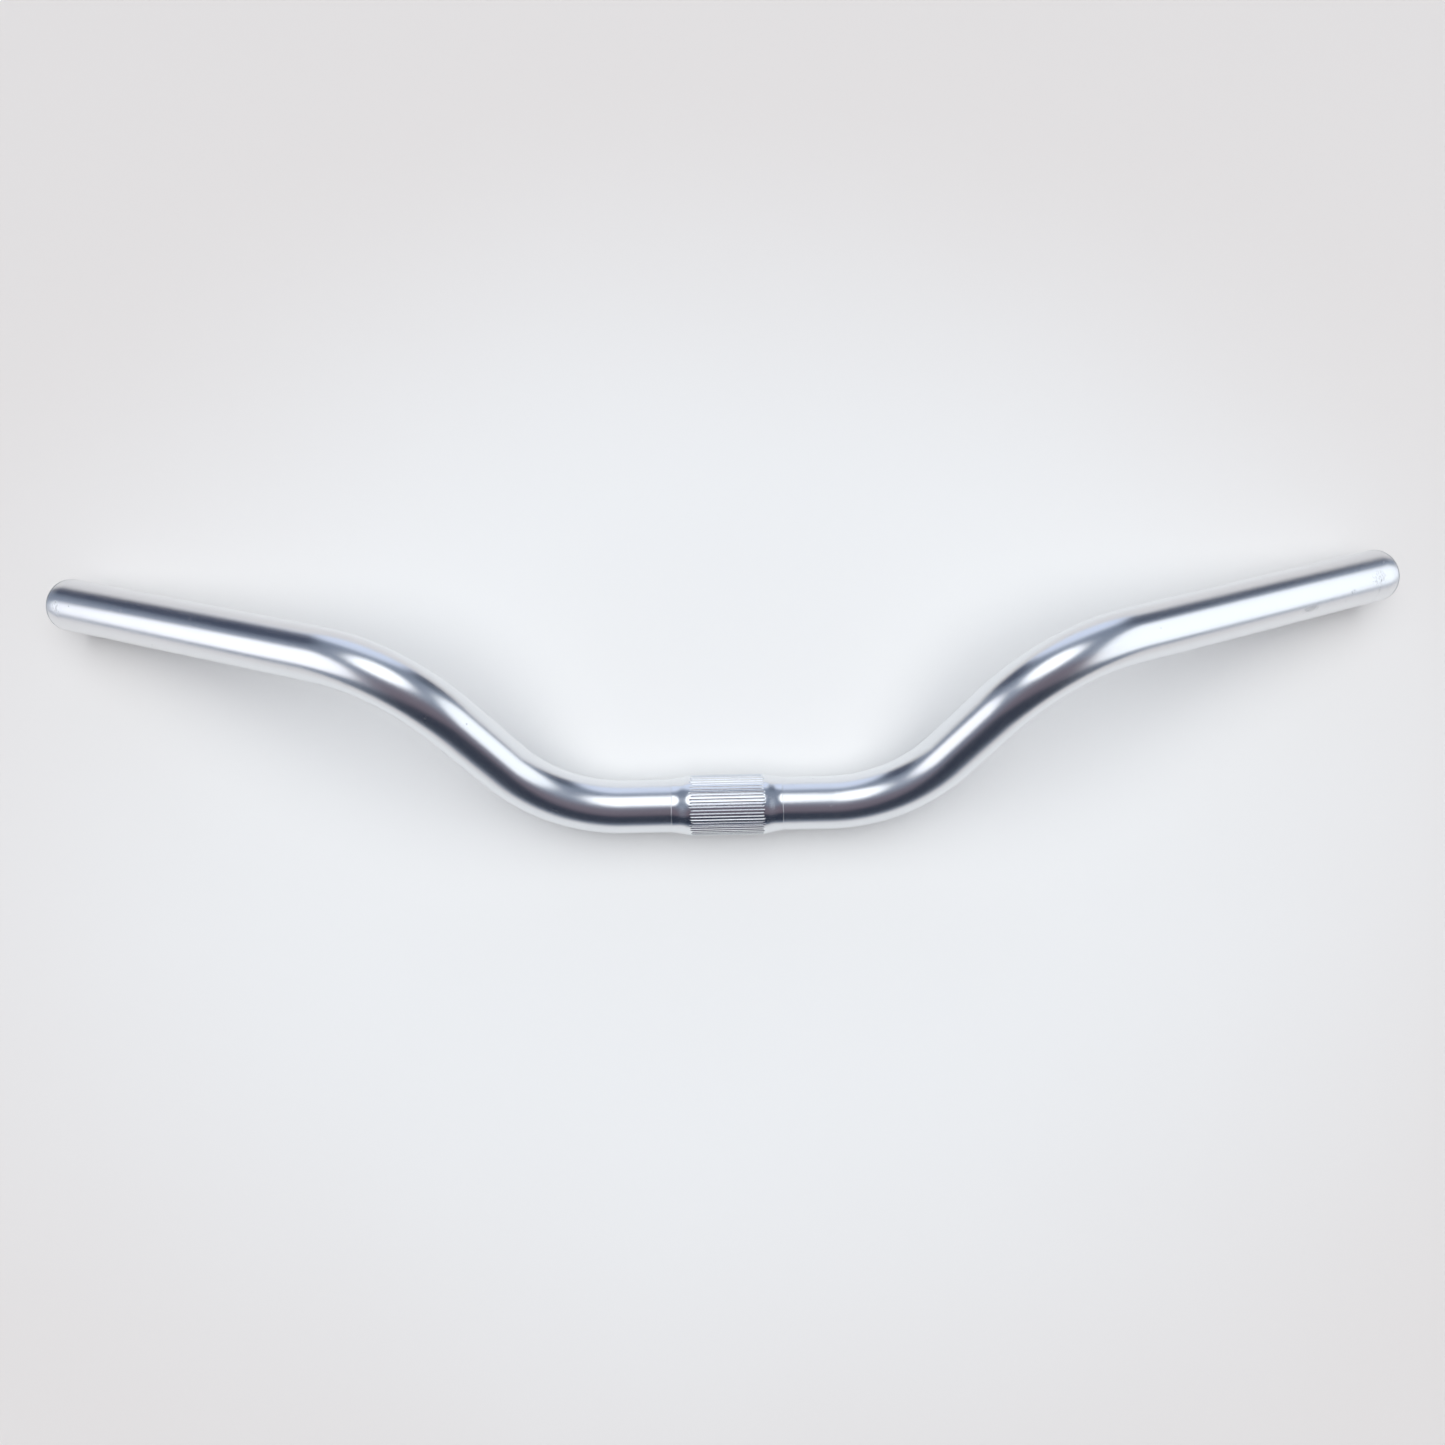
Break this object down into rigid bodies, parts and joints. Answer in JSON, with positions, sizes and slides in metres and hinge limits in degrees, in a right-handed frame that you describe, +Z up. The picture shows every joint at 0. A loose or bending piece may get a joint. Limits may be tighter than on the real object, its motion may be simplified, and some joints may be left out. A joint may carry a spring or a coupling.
{
  "type": "handlebar",
  "caption": "Bare bicycle handlebar: a bent tube with raised, swept-back grips and a knurled clamp sleeve at its centre.",
  "frame": {"origin": "centre of the stem clamp area, on the tube's axis", "axes": "+X along the bar to its right end, +Y from the clamp towards the tube ends, +Z up with the bar lying on a table on its sleeve and both tube ends; in use the bar is turned about X in its stem until the grips are about level"},
  "size_m": [0.5694, 0.1154, 0.0638],
  "materials": {
    "polished_tube": "polished and clear anodised, soft mirror gloss with faint scuffs and pits near the ends",
    "knurled_sleeve": "polished, with straight axial knurling on its middle and smooth ramps down to thin rims"
  },
  "bodies": {
    "root": {"bar_tube": "polished_tube", "clamp_sleeve": "knurled_sleeve"}
  },
  "joints": []
}
